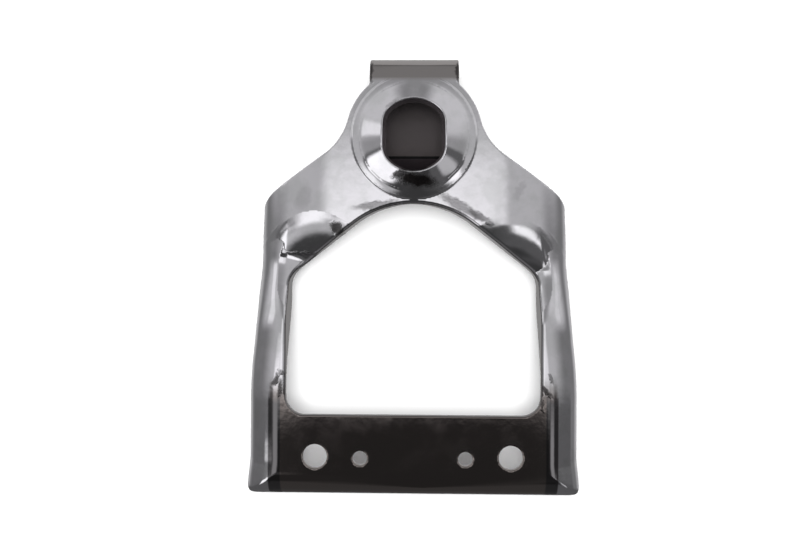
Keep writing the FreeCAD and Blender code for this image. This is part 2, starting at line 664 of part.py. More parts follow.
def check_and_export(bracket):
    """Stop if any object failed, then write the sheet's one solid."""
    for item in doc.Objects:
        if "Invalid" in item.State or "Error" in item.State:
            raise RuntimeError(f"{item.Label} failed: {item.State}")
    shape = bracket.Shape
    if shape.isNull() or not shape.isValid() or len(shape.Solids) != 1:
        raise RuntimeError(f"{bracket.Label} is not one valid solid")
    os.makedirs("parts", exist_ok=True)
    shape.Solids[0].exportStep(f"parts/{bracket.Label}.step")
    box = shape.optimalBoundingBox()
    print(f"{bracket.Label}: {box.XLength:.1f} x {box.YLength:.1f} x {box.ZLength:.1f} mm,"
          f" {shape.Volume / 1000:.1f} cm3, {len(shape.Faces)} faces")


check_and_export(build_bracket())
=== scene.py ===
"""Headlight mounting bracket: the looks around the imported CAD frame. Blender 4.5, metres."""

import math

import bpy
import numpy as np
from mathutils import Matrix, Vector


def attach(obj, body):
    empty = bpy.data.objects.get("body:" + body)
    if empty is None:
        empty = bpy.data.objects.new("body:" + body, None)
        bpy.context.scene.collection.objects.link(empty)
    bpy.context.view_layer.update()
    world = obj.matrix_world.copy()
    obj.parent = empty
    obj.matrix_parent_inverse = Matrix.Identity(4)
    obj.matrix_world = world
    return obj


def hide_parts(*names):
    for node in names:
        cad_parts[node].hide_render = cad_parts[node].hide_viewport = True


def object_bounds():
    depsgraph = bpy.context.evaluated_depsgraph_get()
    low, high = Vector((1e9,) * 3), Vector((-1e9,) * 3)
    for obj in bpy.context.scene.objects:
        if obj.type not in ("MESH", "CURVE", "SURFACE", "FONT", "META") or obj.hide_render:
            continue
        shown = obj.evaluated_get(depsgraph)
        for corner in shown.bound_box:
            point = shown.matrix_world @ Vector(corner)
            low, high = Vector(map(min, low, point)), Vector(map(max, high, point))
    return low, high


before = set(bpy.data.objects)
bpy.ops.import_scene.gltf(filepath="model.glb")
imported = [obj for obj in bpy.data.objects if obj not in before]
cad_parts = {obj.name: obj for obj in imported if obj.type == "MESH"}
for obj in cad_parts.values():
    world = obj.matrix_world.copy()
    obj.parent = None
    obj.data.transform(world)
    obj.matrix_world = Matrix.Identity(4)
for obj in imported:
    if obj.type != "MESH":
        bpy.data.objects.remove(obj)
cad_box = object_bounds()

MM = 0.001

# Sizes are in millimetres and radians. X is to the right, Y to the rear and Z up. Heights are above
# the middle of the plate's large holes, and depths are behind the plate's rear face.

# Thickness of the sheet and rounding of its cut edges
SHEET = 2.7
EDGE = 0.35

# Pan: its sides and its lower edge roll back, and its face's slope is measured over a short reach
PLATE_DROP = 15.0
BOTTOM_ROLL = 9.5
SIDE_ROLL = 12.0
HIP_POWER = 7
SLOPE_REACH = 1.0
LOWER_HALF_WIDTH = 60.4
FLARE_WIDTH = 2.2
FLARE_BOTTOM = 19.0
FLARE_TOP = 57.0
SHOULDER_LEAN = 0.8
SPREAD_TOP = -1.5
SPREAD_RADIUS = 20.0
SPREAD_ANGLE = np.radians(6.5)

# Flanges behind the sides
FLANGE_DEPTH = 17.0
ARM_FLANGE_DEPTH = 11.0
FLANGE_STEP_BOTTOM = 21.0
FLANGE_STEP_TOP = 45.0

# Outline of the shoulders and of the edge round the dome
SHOULDER_HEIGHT = 91.5
SHOULDER_CORNER = 57.7
SHOULDER_ANGLE = np.radians(35.0)
SHOULDER_RADIUS = 13.5
SIDE_CUT = 57.8
SIDE_CUT_SPREAD = 0.6
SIDE_CUT_TOP = 90.0
SIDE_CUT_BOTTOM = 57.0
SIDE_CUT_END = 70.0
CLEAR_SIDE = 64.0
NECK_RADIUS = 22.0
HEAD_RADIUS = 24.7

# Dome and lamp hole
DOME_HEIGHT = 115.5
DOME_RADIUS = 22.6
DOME_STEP = 0.4
DOME_STEP_OUT = 0.35
DOME_STEP_WIDTH = 0.8
DOME_RISE = 4.27
RING_WIDTH = 2.9
RING_ANGLE = np.radians(12.0)
CONE_BLEND = 0.8
LAMP_RADIUS = 13.0
LAMP_FLAT = 11.05
LAMP_CORNER = 7.0
LAMP_DEPTH = 4.7
LAMP_DRAFT = np.radians(13.0)
LAMP_EDGE = 0.6
COLLAR_WALL = 1.6
COLLAR_BOTTOM = 95.0
HOLE_FRONT = -SHEET - DOME_STEP - DOME_RISE

# Tab and the leg behind the lamp hole
TAB_HALF = 16.1
TAB_FOOT_RADIUS = 1.8
BEND_HEIGHT = 136.2
BEND_RADIUS = 8.3
BEND_CENTRE = BEND_RADIUS - SHEET
LEG_REAR = 2 * BEND_RADIUS - SHEET
LEG_ZONE_SIDE = 22.0
LEG_ZONE_BOTTOM = 93.0
LEG_CORNER = 1.0
CREASE_HEIGHT = 109.8
CREASE_SOFTNESS = 1.5
FOOT_LENGTH = 13.0
FOOT_ANGLE = np.radians(12.0)

# Window and the lip turned back round it
WINDOW_SIDE = 46.05
WINDOW_BOTTOM = 14.8
WINDOW_MIDDLE = 45.0
WINDOW_PEAK = 100.08
WINDOW_TOP = 91.3
WINDOW_ANGLE = np.radians(36.8)
ARCH_RADIUS = 35.3
WINDOW_UPPER_RADIUS = 9.5
WINDOW_LOWER_RADIUS = 6.8
LIP_DRAFT = np.radians(4.5)
LIP_BEND = 1.3
LIP_START = 22.0
LIP_TOP_DEPTH = 0.4
LIP_CORNER_DEPTH = 9.3
LIP_RISE_BOTTOM = 26.0
LIP_RISE_TOP = 59.7
LIP_CLEARANCE = 1.5

# Holes of the plate: place across, height and radius
LARGE_HOLE_ACROSS = 35.3
LARGE_HOLE_RADIUS = 4.35
SMALL_HOLE_ACROSS = 19.0
SMALL_HOLE_DROP = 0.6
SMALL_HOLE_RADIUS = 2.6
HOLES = [
    (-LARGE_HOLE_ACROSS, 0.0, LARGE_HOLE_RADIUS),
    (LARGE_HOLE_ACROSS, 0.0, LARGE_HOLE_RADIUS),
    (-SMALL_HOLE_ACROSS, -SMALL_HOLE_DROP, SMALL_HOLE_RADIUS),
    (SMALL_HOLE_ACROSS, -SMALL_HOLE_DROP, SMALL_HOLE_RADIUS),
]

# Crown: the shoulders fall off towards the sides
CROWN_START = 28.5
CROWN_RADIUS = 60.0
CROWN_BOTTOM = 44.0
CROWN_TOP = 72.0

# Scoops: a hollow in each upper corner of the window. Below its fold it has a wall that follows a
# tall round crease, and above the fold a dish. A band outside the crease leans into it.
WALL_SLOPE = 0.6
STEEP_WALL = 1.5
STEEP_REACH = 6.0
GROWTH_START = 4.0
FOLD_DROP = 7.0
FOLD_SOFTNESS = 0.2
RIM_SOFTNESS = 1.2
RIM_TOP = 86.0
DISH_ACROSS = 33.9
DISH_BEND = 36.0
BAND_WIDTH = 4.0
BAND_GROWTH = 6.0
BAND_BOTTOM = 62.0
BAND_SLOPE = 0.3
SCOOPS = [
    {"hand": -1, "fold": 73.0, "wall_across": 37.3, "wall_low": 62.0, "wall_high": 69.0,
     "wall_radius": 12.2, "wall_growth": 0.45, "dish_up": 58.0, "dish_radius": 33.0},
    {"hand": 1, "fold": 67.0, "wall_across": 35.0, "wall_low": 63.0, "wall_high": 64.0,
     "wall_radius": 15.5, "wall_growth": 0.35, "dish_up": 57.0, "dish_radius": 31.0},
]


def larger(first, second, radius):
    """Larger of two distances, their shared corner rounded."""
    rounded = np.hypot(np.maximum(first + radius, 0), np.maximum(second + radius, 0)) - radius
    return np.where((first > -radius) & (second > -radius), rounded, np.maximum(first, second))


def smaller(first, second, radius):
    """Smaller of two distances, their shared corner rounded."""
    return -larger(-first, -second, radius)


def larger_at_angle(first, second, radius, cosine):
    """As larger, for two faces whose outward directions have this cosine."""
    a = first + radius
    b = second + radius
    reach = np.sqrt(np.maximum(a * a + b * b - 2 * a * b * cosine, 0) / (1 - cosine ** 2))
    wedge = (a > b * cosine) & (b > a * cosine)
    return np.where(wedge, reach - radius, np.maximum(first, second))


def smooth(part):
    """Soft step of a share between 0 and 1."""
    return part * part * (3 - 2 * part)


def ease(value, start, end):
    """Soft step from 0 at the start to 1 at the end."""
    return smooth(np.clip((value - start) / (end - start), 0, 1))


def half_width(z):
    """Half the bracket's width at a height, with its flare, lean and spreading lower corners."""
    flare = np.clip((z - FLARE_BOTTOM) / (FLARE_TOP - FLARE_BOTTOM), 0, 1)
    flare = np.where(flare < 0.5, 2 * flare ** 2, 1 - 2 * (1 - flare) ** 2)
    rise = SHOULDER_HEIGHT - FLARE_TOP
    lean = SHOULDER_LEAN * (np.maximum(z - FLARE_TOP, 0) / rise) ** 2
    drop = np.maximum(SPREAD_TOP - z, 0)
    bend = SPREAD_RADIUS * np.sin(SPREAD_ANGLE)
    arc = SPREAD_RADIUS - np.sqrt(SPREAD_RADIUS ** 2 - np.minimum(drop, bend) ** 2)
    spread = arc + np.tan(SPREAD_ANGLE) * np.maximum(drop - bend, 0)
    return LOWER_HALF_WIDTH - FLARE_WIDTH * flare - lean + spread


def dome_rise(x, z):
    """How far the dome stands out: a step, a ring and a cone up to the lamp hole."""
    r = np.hypot(x, z - DOME_HEIGHT)
    ring = np.clip(DOME_RADIUS - r, 0, RING_WIDTH) * np.tan(RING_ANGLE)
    cone_width = DOME_RADIUS - RING_WIDTH - LAMP_RADIUS
    slope = (DOME_RISE - RING_WIDTH * np.tan(RING_ANGLE)) / cone_width
    inside = DOME_RADIUS - RING_WIDTH - r
    cone = slope * 0.5 * (inside + np.sqrt(inside ** 2 + CONE_BLEND ** 2))
    return ring + cone + DOME_STEP * ease(DOME_RADIUS + DOME_STEP_OUT - r, 0, DOME_STEP_WIDTH)


def crown_depth(x, z):
    """How far the shoulders have fallen back towards the sides."""
    over = np.maximum(np.abs(x) - CROWN_START, 0)
    return over ** 2 / (2 * CROWN_RADIUS) * ease(z, CROWN_BOTTOM, CROWN_TOP)


def scoop_depth(x, z, scoop):
    """Depth of one scoop and of the band outside its crease."""
    a = x * scoop["hand"]
    fold = scoop["fold"]
    beyond = np.hypot(np.maximum(z - fold, 0), GROWTH_START) - GROWTH_START
    slope = WALL_SLOPE + (STEEP_WALL - WALL_SLOPE) * ease(z, fold, fold + STEEP_REACH)
    from_axis = np.hypot(a - scoop["wall_across"], z - np.clip(z, scoop["wall_low"], scoop["wall_high"]))
    within = scoop["wall_radius"] + scoop["wall_growth"] * beyond - from_axis
    inside = np.maximum(scoop["dish_radius"] - np.hypot(a - DISH_ACROSS, z - scoop["dish_up"]), 0)
    dish = inside ** 2 / (2 * DISH_BEND) + FOLD_DROP * np.maximum(fold - z, 0)
    band = BAND_WIDTH + BAND_GROWTH * ease(z, BAND_BOTTOM, RIM_TOP)
    outside = np.clip(1 + np.minimum(within, 0) / band, 0, 1)
    wall = slope * np.maximum(within, 0) + BAND_SLOPE * band / 2 * outside ** 2
    depth = smaller(wall, dish, FOLD_SOFTNESS + RIM_SOFTNESS * ease(z, fold, RIM_TOP))
    return np.where(a > 0, np.maximum(depth, 0), 0)


def face_place(x, z):
    """Depth of the front face, without the rolls."""
    scoops = sum(scoop_depth(x, z, scoop) for scoop in SCOOPS)
    return -SHEET - dome_rise(x, z) + scoops + crown_depth(x, z)


def outside_of_bend(y, z):
    """Distance outside the tab's half-round bend."""
    return np.hypot(y - BEND_CENTRE, z - BEND_HEIGHT) - BEND_RADIUS


def outside_of_pan(x, y, z):
    """Distance outside the pan: its face, the bend above it and the rolls along its edges."""
    place = face_place(x, z)
    slope_x = (face_place(x + SLOPE_REACH, z) - face_place(x - SLOPE_REACH, z)) / (2 * SLOPE_REACH)
    slope_z = (face_place(x, z + SLOPE_REACH) - face_place(x, z - SLOPE_REACH)) / (2 * SLOPE_REACH)
    front = (place - y) / np.sqrt(1 + slope_x ** 2 + slope_z ** 2)
    front = np.where(z > BEND_HEIGHT, outside_of_bend(y, z), front)
    rolled_side = larger(np.abs(x) - half_width(z), front, SIDE_ROLL)
    rolled_bottom = larger(-PLATE_DROP - z, front, BOTTOM_ROLL)
    hip = (np.maximum(rolled_side - front, 0) ** HIP_POWER
           + np.maximum(rolled_bottom - front, 0) ** HIP_POWER) ** (1 / HIP_POWER)
    return front + hip


def outside_of_outline(x, z):
    """Distance outside the front view of the shoulders, the edge round the dome and the tab."""
    a = np.abs(x)
    apex = SHOULDER_HEIGHT + SHOULDER_CORNER * np.tan(SHOULDER_ANGLE)
    sine = np.sin(SHOULDER_ANGLE)
    cosine = np.cos(SHOULDER_ANGLE)
    slope = (z - apex) * cosine + a * sine
    side = a - SIDE_CUT - SIDE_CUT_SPREAD * ease(z, SIDE_CUT_TOP, SIDE_CUT_BOTTOM)
    side = np.where(z > SIDE_CUT_END, side, a - CLEAR_SIDE)
    shoulders = larger_at_angle(side, slope, SHOULDER_RADIUS, sine)
    from_head = z - DOME_HEIGHT
    body = np.minimum(shoulders, np.hypot(x, from_head) - HEAD_RADIUS)
    across = (apex - DOME_HEIGHT) * cosine + NECK_RADIUS
    along = np.sqrt((HEAD_RADIUS + NECK_RADIUS) ** 2 - across ** 2)
    neck_x = across * sine + along * cosine
    neck_z = across * cosine - along * sine
    before = a * cosine - from_head * sine < along
    below = neck_x * from_head - neck_z * a < 0
    hollow = NECK_RADIUS - np.hypot(a - neck_x, from_head - neck_z)
    body = np.where(before & below, np.minimum(body, hollow), body)
    tab = np.maximum(a - TAB_HALF, DOME_HEIGHT - z)
    return -larger_at_angle(-body, -tab, TAB_FOOT_RADIUS, TAB_HALF / HEAD_RADIUS)


def outside_of_window(x, y, z):
    """Distance outside the window, which narrows towards the rear by the lip's draft."""
    a = np.abs(x)
    side = a - WINDOW_SIDE
    slope = (z - WINDOW_PEAK) * np.cos(WINDOW_ANGLE) + a * np.sin(WINDOW_ANGLE)
    from_arch = z - (WINDOW_TOP - ARCH_RADIUS)
    arch = np.hypot(x, from_arch) - ARCH_RADIUS
    in_arch = (a < ARCH_RADIUS * np.sin(WINDOW_ANGLE)) | (np.arctan2(a, from_arch) < WINDOW_ANGLE)
    upper = larger_at_angle(side, np.where(in_arch, arch, slope), WINDOW_UPPER_RADIUS, np.sin(WINDOW_ANGLE))
    lower = larger(side, WINDOW_BOTTOM - z, WINDOW_LOWER_RADIUS)
    return np.where(z > WINDOW_MIDDLE, upper, lower) + np.tan(LIP_DRAFT) * (y + SHEET)


def lip_depth(x, z):
    """Depth of the lip's rear edge: shallow at the arch, deep at the corners, ending on the arms."""
    above = LIP_TOP_DEPTH + (LIP_CORNER_DEPTH - LIP_TOP_DEPTH) * np.abs(x) / WINDOW_SIDE
    beside = LIP_CORNER_DEPTH * ease(z, LIP_RISE_BOTTOM, LIP_RISE_TOP)
    return np.minimum(above, beside)


def flange_depth(z):
    """Depth of the flanges' rear edge, which steps up from the plate to the arms."""
    share = ease(z, FLANGE_STEP_BOTTOM, FLANGE_STEP_TOP)
    return FLANGE_DEPTH + (ARM_FLANGE_DEPTH - FLANGE_DEPTH) * share


def double_d(x, z, growth):
    """Distance outside the lamp hole, which has two upright flats and soft corners."""
    a = np.abs(x)
    h = np.abs(z - DOME_HEIGHT)
    centre_x = LAMP_FLAT - LAMP_CORNER
    centre_z = math.sqrt((LAMP_RADIUS - LAMP_CORNER) ** 2 - centre_x ** 2)
    plain = np.maximum(a - LAMP_FLAT, np.hypot(a, h) - LAMP_RADIUS)
    rounded = np.hypot(a - centre_x, h - centre_z) - LAMP_CORNER
    wedge = (h > centre_z) & (a * centre_z > h * centre_x)
    return np.where(wedge, rounded, plain) - growth


def shelled(outer):
    """Distance outside the sheet whose outer face has this distance."""
    return np.abs(outer + SHEET / 2) - SHEET / 2


def with_lamp_hole(shell, x, y, z):
    """The sheet with the lamp hole's collar and its tapered bore."""
    collar = double_d(x, z, COLLAR_WALL - LAMP_DEPTH * np.tan(LAMP_DRAFT))
    collar_ends = np.maximum(HOLE_FRONT + SHEET / 2 - y, y - HOLE_FRONT - LAMP_DEPTH)
    collar = np.maximum(collar, collar_ends)
    shell = np.where(z > COLLAR_BOTTOM, smaller(shell, collar, LAMP_EDGE), shell)
    shrink = (y - HOLE_FRONT) * np.tan(LAMP_DRAFT)
    return larger(shell, -double_d(x, z, -shrink), LAMP_EDGE)


def outside_of_leg(x, y, z):
    """Distance outside the folded tab's leg, whose foot leans back below a crease."""
    drop = CREASE_HEIGHT - z
    run = np.sqrt(drop ** 2 + CREASE_SOFTNESS ** 2)
    soft = 0.5 * (drop + run)
    lean = 0.5 * (1 + drop / run) * np.tan(FOOT_ANGLE)
    rear = (y - LEG_REAR - soft * np.tan(FOOT_ANGLE)) / np.sqrt(1 + lean ** 2)
    leg = shelled(np.where(z > BEND_HEIGHT, outside_of_bend(y, z), rear))
    end = drop * np.cos(FOOT_ANGLE) + (y - LEG_REAR) * np.sin(FOOT_ANGLE) - FOOT_LENGTH
    return larger(leg, larger(np.abs(x) - TAB_HALF, end, LEG_CORNER), EDGE)


def field(x, y, z):
    """Distance outside the bracket, negative inside its sheet."""
    pan = outside_of_pan(x, y, z)
    window = outside_of_window(x, y, z)
    outer = np.where(z > LIP_START, larger(pan, -window, LIP_BEND), pan)
    shell = larger(shelled(outer), -window, EDGE)
    behind_lip = np.minimum(y - lip_depth(x, z), SHEET + LIP_CLEARANCE - window)
    shell = larger(shell, behind_lip, EDGE)
    shell = larger(shell, y - flange_depth(z), EDGE)
    shell = larger(shell, outside_of_outline(x, z), EDGE)
    for hole_x, hole_z, radius in HOLES:
        shell = larger(shell, radius - np.hypot(x - hole_x, z - hole_z), EDGE)
    shell = with_lamp_hole(shell, x, y, z)
    in_leg_zone = (np.abs(x) < LEG_ZONE_SIDE) & (y > BEND_CENTRE) & (z > LEG_ZONE_BOTTOM)
    return np.where(in_leg_zone, outside_of_leg(x, y, z), shell)


# Mesh of the sheet
CELL = 0.45
MARGIN = 1.5
SLAB = 8
PROBE = 0.004
NEWTON_STEPS = 4
LEAST_STEEPNESS = 0.2
PIECE_TRIANGLES = 190000
LIP_WALL = 0.3


def add_object(name, data):
    """New object with this data, in the scene."""
    item = bpy.data.objects.new(name, data)
    bpy.context.collection.objects.link(item)
    return item


def sampled_field(low, high):
    """The field's values on a grid between two corners."""
    counts = np.ceil((high - low) / CELL).astype(int) + 1
    xs, ys, zs = (low[axis] + CELL * np.arange(counts[axis]) for axis in range(3))
    values = np.empty(tuple(counts), np.float32)
    for start in range(0, counts[2], SLAB):
        part = slice(start, start + SLAB)
        values[:, :, part] = field(xs[:, None, None], ys[None, :, None], zs[None, None, part])
    return values


def surface_net(values, low):
    """One point in each cell that the surface passes, and one quad round each crossed grid edge."""
    inside = values < 0
    shape = tuple(np.array(values.shape) - 1)
    total = np.zeros(shape + (3,), np.float32)
    count = np.zeros(shape, np.int32)
    crossings = []
    for axis in range(3):
        here = [slice(None)] * 3
        there = [slice(None)] * 3
        here[axis] = slice(0, -1)
        there[axis] = slice(1, None)
        near = values[tuple(here)]
        far = values[tuple(there)]
        crossed = np.argwhere(inside[tuple(here)] != inside[tuple(there)])
        at = tuple(crossed.T)
        spot = crossed.astype(np.float32)
        spot[:, axis] += near[at] / (near[at] - far[at])
        others = [other for other in range(3) if other != axis]
        around = []
        for back_first, back_second in ((0, 0), (1, 0), (1, 1), (0, 1)):
            cells = crossed.copy()
            cells[:, others[0]] -= back_first
            cells[:, others[1]] -= back_second
            np.add.at(total, tuple(cells.T), spot)
            np.add.at(count, tuple(cells.T), 1)
            around.append(cells)
        leaves = inside[tuple(here)][at]
        crossings.append((np.stack(around, axis=1), leaves if axis != 1 else ~leaves))
    used = np.argwhere(count > 0)
    number = np.full(shape, -1, np.int64)
    number[tuple(used.T)] = np.arange(len(used))
    points = total[tuple(used.T)] / count[tuple(used.T)][:, None]
    quads = []
    for around, forward in crossings:
        quad = number[around[..., 0], around[..., 1], around[..., 2]]
        quad[~forward] = quad[~forward][:, ::-1]
        quads.append(quad)
    return low + points.astype(float) * CELL, np.concatenate(quads)


def field_at(points):
    return field(points[:, 0], points[:, 1], points[:, 2])


def slope_at(points):
    """Direction in which the field grows fastest, and how fast."""
    slope = np.empty_like(points)
    for axis in range(3):
        step = np.zeros(3)
        step[axis] = PROBE
        slope[:, axis] = (field_at(points + step) - field_at(points - step)) / (2 * PROBE)
    return slope


def onto_surface(points):
    """Points moved along the field's slope to where it is 0."""
    for _ in range(NEWTON_STEPS):
        slope = slope_at(points)
        steep = np.maximum((slope ** 2).sum(axis=1), LEAST_STEEPNESS)
        move = np.clip(field_at(points) / steep, -CELL / 2, CELL / 2)
        points = points - slope * move[:, None]
    return points


def set_places(mesh, points):
    mesh.vertices.foreach_set("co", (points * MM).astype(np.float32).ravel())


def mesh_of_quads(name, points, quads):
    mesh = bpy.data.meshes.new(name)
    mesh.vertices.add(len(points))
    set_places(mesh, points)
    mesh.loops.add(quads.size)
    mesh.loops.foreach_set("vertex_index", quads.ravel().astype(np.int32))
    mesh.polygons.add(len(quads))
    mesh.polygons.foreach_set("loop_start", np.arange(0, quads.size, 4, dtype=np.int32))
    mesh.update(calc_edges=True)
    mesh.validate()
    return mesh


def thin_out(item, ratio):
    """Keep this share of the object's triangles."""
    thin = item.modifiers.new("thin", "DECIMATE")
    thin.ratio = min(1.0, ratio)
    depsgraph = bpy.context.evaluated_depsgraph_get()
    mesh = bpy.data.meshes.new_from_object(item.evaluated_get(depsgraph))
    item.modifiers.clear()
    item.data = mesh
    mesh.name = item.name
    return mesh


def make_sheet():
    """The bracket's sheet, with the field's own normals and an attribute on the window's cut wall."""
    low = np.array(cad_box[0]) / MM - MARGIN
    high = np.array(cad_box[1]) / MM + MARGIN
    points, quads = surface_net(sampled_field(low, high), low)
    sheet = add_object("bracket_sheet", mesh_of_quads("bracket_sheet", onto_surface(points), quads))
    mesh = thin_out(sheet, PIECE_TRIANGLES / (2 * len(quads)))
    places = np.empty(len(mesh.vertices) * 3)
    mesh.vertices.foreach_get("co", places)
    points = onto_surface(places.reshape(-1, 3) / MM)
    set_places(mesh, points)
    slope = slope_at(points)
    normals = slope / np.linalg.norm(slope, axis=1)[:, None]
    mesh.polygons.foreach_set("use_smooth", np.ones(len(mesh.polygons), bool))
    mesh.normals_split_custom_set_from_vertices(normals.tolist())
    window = outside_of_window(points[:, 0], points[:, 1], points[:, 2])
    lip = mesh.attributes.new("lip_wall", "FLOAT", "POINT")
    lip.data.foreach_set("value", (np.abs(window) < LIP_WALL).astype(np.float32))
    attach(sheet, "root")
    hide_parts("bracket")
    return sheet


# The photograph's camera: its place in millimetres, where it looks and how far it leans, in degrees
IMAGE_WIDTH = 800
FOCAL_PIXELS = 950
SENSOR_WIDTH = 36.0
CLIP_START = 0.01
CAMERA_PLACE = (4.03, -344.19, 68.11)
CAMERA_YAW = -1.484
CAMERA_PITCH = 0.077
CAMERA_ROLL = 0.276


def make_camera():
    data = bpy.data.cameras.new("camera")
    data.sensor_width = SENSOR_WIDTH
    data.lens = FOCAL_PIXELS / IMAGE_WIDTH * SENSOR_WIDTH
    data.clip_start = CLIP_START
    camera = add_object("camera", data)
    yaw, pitch, roll = (math.radians(angle) for angle in (CAMERA_YAW, CAMERA_PITCH, CAMERA_ROLL))
    forward = Vector((math.sin(yaw) * math.cos(pitch), math.cos(yaw) * math.cos(pitch), math.sin(pitch)))
    level = Vector((math.cos(yaw), -math.sin(yaw), 0))
    upright = level.cross(forward)
    right = level * math.cos(roll) + upright * math.sin(roll)
    up = upright * math.cos(roll) - level * math.sin(roll)
    turn = Matrix((right, up, -forward)).transposed().to_4x4()
    camera.matrix_world = Matrix.Translation(Vector(CAMERA_PLACE) * MM) @ turn
    bpy.context.scene.camera = camera


# Soft lights and flags of the studio, as they are reflected in the chrome. Azimuth is from the
# camera's side towards +X, elevation above the horizon, in degrees. Each covers what comes before it.
# They are painted on a sphere, whose radius is in metres.
STUDIO_RADIUS = 2.0
STUDIO_RINGS = 180
STUDIO_BASE = 0.2
STUDIO = [
    # azimuth, elevation, half width, half height, soft edge across and up, brightness
    (180, 0, 40, 90, 20, 20, 0.5),  # behind the bracket
    (-62, 36, 26, 20, 40, 14, 0.6),  # wide boxes, high at both sides
    (62, 36, 26, 20, 40, 14, 0.62),
    (0, 4, 30, 10, 50, 16, 0.5),  # wide band in front
    (0, 50, 2, 26, 40, 20, 0.3),  # dim strip, high in front
    (-1, 0, 7, 5, 12, 9, 1.05),  # bright boxes in front
    (10, 0, 1, 5, 8, 9, 0.85),
    (0, -53, 180, 36, 10, 9, 0.1),  # dark floor, darker towards the middle of the front
    (0, -54, 14, 44, 6, 3, 0.07),
    (0, -54, 7, 45.6, 6, 1.5, 0.045),
    (-74, -11, 36, 3, 12, 4, 0.14),  # dark bands along its edge, for the lower flanges
    (66, -11, 30, 3, 12, 4, 0.11),
    (-16, -42, 6, 12, 7, 6, 0.05),  # flag and dim box, for the left scoop
    (-21, -20, 6, 2, 6, 9, 0.5),
    (-22, -9, 4, 3, 7, 6, 1.15),  # bright boxes, low on the left
    (-47, -24, 10, 11, 8, 4, 1.3),
    (-40, -31, 6, 9, 8, 8, 1.2),
    (-66, 18, 8, 5, 8, 5, 0.9),  # boxes at both sides
    (74, 18, 6, 4, 6, 5, 0.7),
    (52, -26, 8, 6, 6, 6, 0.5),  # boxes, low on the right
    (25, -13, 3, 3, 5, 4, 1.25),
    (22, -46, 5, 10, 5, 6, 0.04),  # flag, low on the right
]


def soft_box(azimuth, elevation, light):
    """Weight of one light: 1 inside it, falling to 0 across its soft edges."""
    at_azimuth, at_elevation, half_across, half_up, soft_across, soft_up, _ = light
    across = np.abs((azimuth - at_azimuth + 180) % 360 - 180) - half_across
    up = np.abs(elevation - at_elevation) - half_up
    outside = np.hypot(np.maximum(across, 0) / soft_across, np.maximum(up, 0) / soft_up)
    return smooth(np.clip(1 - outside, 0, 1))


def studio_glow(azimuth, elevation):
    """Brightness that the studio shows in each direction."""
    glow = np.full(np.shape(azimuth), STUDIO_BASE)
    for light in STUDIO:
        weight = soft_box(azimuth, elevation, light)
        glow = glow * (1 - weight) + light[-1] * weight
    return glow


def bare_material(name):
    """New material without nodes, and its nodes and links."""
    material = bpy.data.materials.new(name)
    material.use_nodes = True
    material.node_tree.nodes.clear()
    return material, material.node_tree.nodes, material.node_tree.links


def studio_material():
    material, nodes, links = bare_material("studio")
    attribute = nodes.new("ShaderNodeAttribute")
    attribute.attribute_name = "glow"
    emission = nodes.new("ShaderNodeEmission")
    output = nodes.new("ShaderNodeOutputMaterial")
    links.new(attribute.outputs["Color"], emission.inputs["Color"])
    links.new(emission.outputs[0], output.inputs[0])
    return material


def make_studio():
    """Sphere of soft lights and flags, which only reflections see."""
    columns = 2 * STUDIO_RINGS
    elevations = np.linspace(-90, 90, STUDIO_RINGS + 1)
    azimuths = np.linspace(-180, 180, columns, endpoint=False)
    elevation, azimuth = np.meshgrid(elevations, azimuths, indexing="ij")
    e = np.radians(elevation)
    a = np.radians(azimuth)
    points = np.stack([np.sin(a) * np.cos(e), -np.cos(a) * np.cos(e), np.sin(e)], axis=-1)
    faces = []
    for row in range(STUDIO_RINGS):
        for column in range(columns):
            after = (column + 1) % columns
            faces.append((row * columns + column, row * columns + after,
                          (row + 1) * columns + after, (row + 1) * columns + column))
    mesh = bpy.data.meshes.new("studio")
    mesh.from_pydata((points.reshape(-1, 3) * STUDIO_RADIUS).tolist(), [], faces)
    layer = mesh.color_attributes.new("glow", "FLOAT_COLOR", "POINT")
    colours = np.repeat(studio_glow(azimuth, elevation).reshape(-1, 1), 4, axis=1)
    colours[:, 3] = 1
    layer.data.foreach_set("color", colours.astype(np.float32).ravel())
    mesh.materials.append(studio_material())
    studio = add_object("studio", mesh)
    studio.visible_camera = False
    studio.visible_diffuse = False
    studio.visible_shadow = False
    studio.visible_transmission = False
    studio.visible_volume_scatter = False


# Table, lamp and world, in metres
TABLE_HALF = 3.0
TABLE_COLOUR = (0.95, 0.95, 0.95, 1)
WORLD_COLOUR = (1, 1, 1, 1)
WORLD_STRENGTH = 0.3
LAMP_PLACE = (0.0, -1.4, 0.2)
LAMP_SIZE = 1.1
LAMP_ENERGY = 30.0


def table_material():
    """Pale and matt from the front, and clear from the rear."""
    material, nodes, links = bare_material("table")
    geometry = nodes.new("ShaderNodeNewGeometry")
    diffuse = nodes.new("ShaderNodeBsdfDiffuse")
    diffuse.inputs["Color"].default_value = TABLE_COLOUR
    clear = nodes.new("ShaderNodeBsdfTransparent")
    mix = nodes.new("ShaderNodeMixShader")
    output = nodes.new("ShaderNodeOutputMaterial")
    links.new(geometry.outputs["Backfacing"], mix.inputs[0])
    links.new(diffuse.outputs[0], mix.inputs[1])
    links.new(clear.outputs[0], mix.inputs[2])
    links.new(mix.outputs[0], output.inputs[0])
    return material


def make_backdrop():
    """The pale table that the bracket lies on, upright behind it here."""
    rear = cad_box[1].y
    corners = [(-TABLE_HALF, rear, -TABLE_HALF), (TABLE_HALF, rear, -TABLE_HALF),
               (TABLE_HALF, rear, TABLE_HALF), (-TABLE_HALF, rear, TABLE_HALF)]
    mesh = bpy.data.meshes.new("table")
    mesh.from_pydata(corners, [], [(0, 1, 2, 3)])
    mesh.materials.append(table_material())
    table = add_object("table", mesh)
    table.visible_glossy = False


